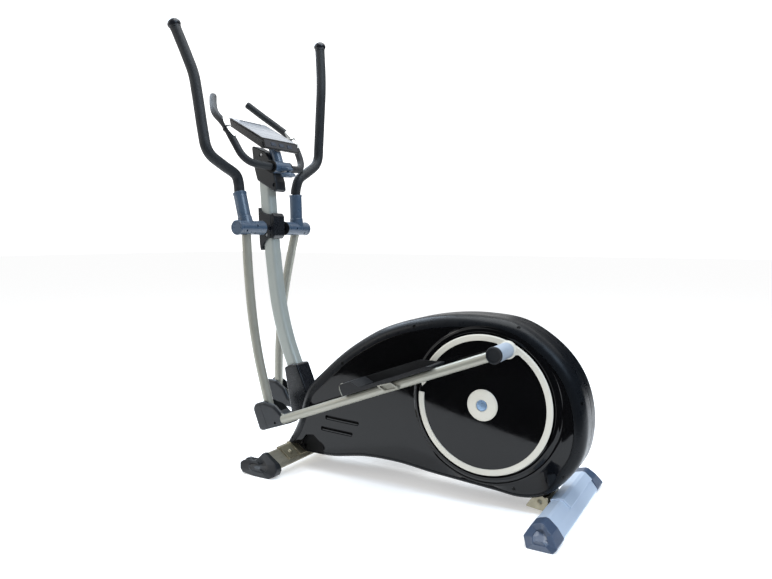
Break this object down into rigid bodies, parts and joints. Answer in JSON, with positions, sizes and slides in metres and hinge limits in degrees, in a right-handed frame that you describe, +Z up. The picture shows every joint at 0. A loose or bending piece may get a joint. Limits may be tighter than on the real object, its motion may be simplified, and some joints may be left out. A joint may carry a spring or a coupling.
{
  "type": "elliptical_trainer",
  "caption": "Free-standing elliptical cross trainer: two foot rails and swing arms on a rear crank, glossy black drive shell, curved grey mast, fixed pulse handlebar and small tilted console",
  "frame": {"origin": "centre of the footprint box on the floor", "axes": "+X toward the rear stabiliser and crank, +Y to the machine's right seen by the rider facing the console, +Z up"},
  "size_m": [1.441, 0.6126, 1.6425],
  "materials": {
    "silver_paint": "Light warm-silver paint, satin, on the stabiliser, lower arms and foot rails",
    "mast_grey": "Grey-green metallic paint on the curved mast",
    "frame_black": "Satin black paint on the inner frame and handlebar tubes",
    "gloss_black": "Glossy black moulded shell and crank discs",
    "satin_black": "Satin dark grey-black moulded covers",
    "foot_rubber": "Black moulded rubber-like feet and pedals",
    "foam": "Soft black foam grip, fine grain",
    "steel": "Machined steel",
    "chrome": "Polished chromed axle",
    "cast_iron": "Cast flywheel, turned rim",
    "cream": "Cream painted crank arms and hub covers",
    "display": "Light grey display window",
    "button": "Blue-grey keys"
  },
  "bodies": {
    "frame": {"main_frame": "frame_black", "front_stabilizer": "silver_paint", "rear_stabilizer": "frame_black", "rear_stabilizer_cover": "silver_paint", "front_foot_left": "foot_rubber", "front_foot_right": "foot_rubber", "rear_foot_left": "foot_rubber", "rear_foot_right": "foot_rubber", "left_shell": "gloss_black", "right_shell": "gloss_black", "mast": "mast_grey", "mast_foot_cover": "satin_black", "mast_head_cover": "satin_black", "pivot_cover_front": "satin_black", "pivot_cover_rear": "satin_black", "pivot_axle": "chrome", "handlebar_clamp": "satin_black", "console_face": "satin_black", "console_housing": "satin_black", "console_display": "display", "drive_belt": "foot_rubber", "brake_motor": "satin_black", "power_inlet": "satin_black"},
    "handlebar_body": {"handlebar": "frame_black", "handlebar_grip_left": "foam", "handlebar_grip_right": "foam"},
    "knob_body": {"clamp_knob": "satin_black"},
    "button_1_body": {"console_button_1": "button"},
    "button_2_body": {"console_button_2": "button"},
    "button_3_body": {"console_button_3": "button"},
    "crankset": {"crank_axle": "steel", "crank_pulley": "satin_black", "crank_arm_left": "cream", "crank_disc_left": "gloss_black", "crank_hub_cover_left": "cream", "crank_arm_right": "cream", "crank_disc_right": "gloss_black", "crank_hub_cover_right": "cream"},
    "flywheel_body": {"flywheel": "cast_iron"},
    "magnet_body": {"magnet_bracket": "steel"},
    "wheel_left_body": {"transport_wheel_left": "foot_rubber"},
    "wheel_right_body": {"transport_wheel_right": "foot_rubber"},
    "arm_left_body": {"arm_pivot_left": "satin_black", "handle_tube_left": "frame_black", "handle_grip_left": "foam", "lower_arm_left": "silver_paint"},
    "rail_left_body": {"rail_left": "silver_paint", "crank_pin_left": "steel", "sleeve_cap_left": "satin_black", "pedal_left": "foot_rubber", "joint_cover_left": "satin_black"},
    "arm_right_body": {"arm_pivot_right": "satin_black", "handle_tube_right": "frame_black", "handle_grip_right": "foam", "lower_arm_right": "silver_paint"},
    "rail_right_body": {"rail_right": "silver_paint", "crank_pin_right": "steel", "sleeve_cap_right": "satin_black", "pedal_right": "foot_rubber", "joint_cover_right": "satin_black"}
  },
  "joints": [
    {"name": "left_arm_swing", "type": "hinge", "parent": "frame", "child": "arm_left_body", "pos_m": [-0.49546, 0, 0.8845], "axis": [0, 1, 0], "range_deg": [-8.1, 25.4]},
    {"name": "right_arm_swing", "type": "hinge", "parent": "frame", "child": "arm_right_body", "pos_m": [-0.49546, 0, 0.8845], "axis": [0, 1, 0], "range_deg": [-25.4, 8.1]},
    {"name": "left_rail_tilt", "type": "hinge", "parent": "arm_left_body", "child": "rail_left_body", "pos_m": [-0.39216, -0.15, 0.20228], "axis": [0, 1, 0], "range_deg": [-25.4, 8.1]},
    {"name": "right_rail_tilt", "type": "hinge", "parent": "arm_right_body", "child": "rail_right_body", "pos_m": [-0.60014, 0.15, 0.20249], "axis": [0, 1, 0], "range_deg": [-8.1, 25.4]},
    {"name": "crank_spin", "type": "hinge", "parent": "frame", "child": "crankset", "pos_m": [0.40694, 0, 0.3284], "axis": [0, 1, 0], "continuous": true},
    {"name": "flywheel_spin", "type": "hinge", "parent": "frame", "child": "flywheel_body", "pos_m": [0.02454, 0, 0.3], "axis": [0, 1, 0], "continuous": true},
    {"name": "magnet_swing", "type": "hinge", "parent": "frame", "child": "magnet_body", "pos_m": [-0.02546, -0.0035, 0.15], "axis": [0, 1, 0], "range_deg": [-8, 0]},
    {"name": "transport_wheel_left_spin", "type": "hinge", "parent": "frame", "child": "wheel_left_body", "pos_m": [-0.43846, -0.211, 0.029], "axis": [0, 1, 0], "continuous": true},
    {"name": "transport_wheel_right_spin", "type": "hinge", "parent": "frame", "child": "wheel_right_body", "pos_m": [-0.43846, 0.211, 0.029], "axis": [0, 1, 0], "continuous": true},
    {"name": "clamp_knob_turn", "type": "hinge", "parent": "frame", "child": "knob_body", "pos_m": [-0.42146, 0, 1.084], "axis": [0, 0, 1], "continuous": true},
    {"name": "handlebar_tilt", "type": "hinge", "parent": "frame", "child": "handlebar_body", "pos_m": [-0.46146, 0, 1.113], "axis": [0, 1, 0], "range_deg": [-4, 4]},
    {"name": "button_1_press", "type": "slide", "parent": "frame", "child": "button_1_body", "axis": [-0.9598, 0, -0.2807], "range_m": [0, 0.0012], "stiffness_N_per_m": 400, "springref_m": -0.001},
    {"name": "button_2_press", "type": "slide", "parent": "frame", "child": "button_2_body", "axis": [-0.9598, 0, -0.2807], "range_m": [0, 0.0012], "stiffness_N_per_m": 400, "springref_m": -0.001},
    {"name": "button_3_press", "type": "slide", "parent": "frame", "child": "button_3_body", "axis": [-0.9598, 0, -0.2807], "range_m": [0, 0.0012], "stiffness_N_per_m": 400, "springref_m": -0.001}
  ],
  "couplings": [
    {"joint": "right_arm_swing", "follows": "left_arm_swing", "ratio": -1},
    {"joint": "left_rail_tilt", "follows": "left_arm_swing", "ratio": -1},
    {"joint": "right_rail_tilt", "follows": "left_arm_swing", "ratio": 1},
    {"joint": "flywheel_spin", "follows": "crank_spin", "ratio": 7}
  ]
}
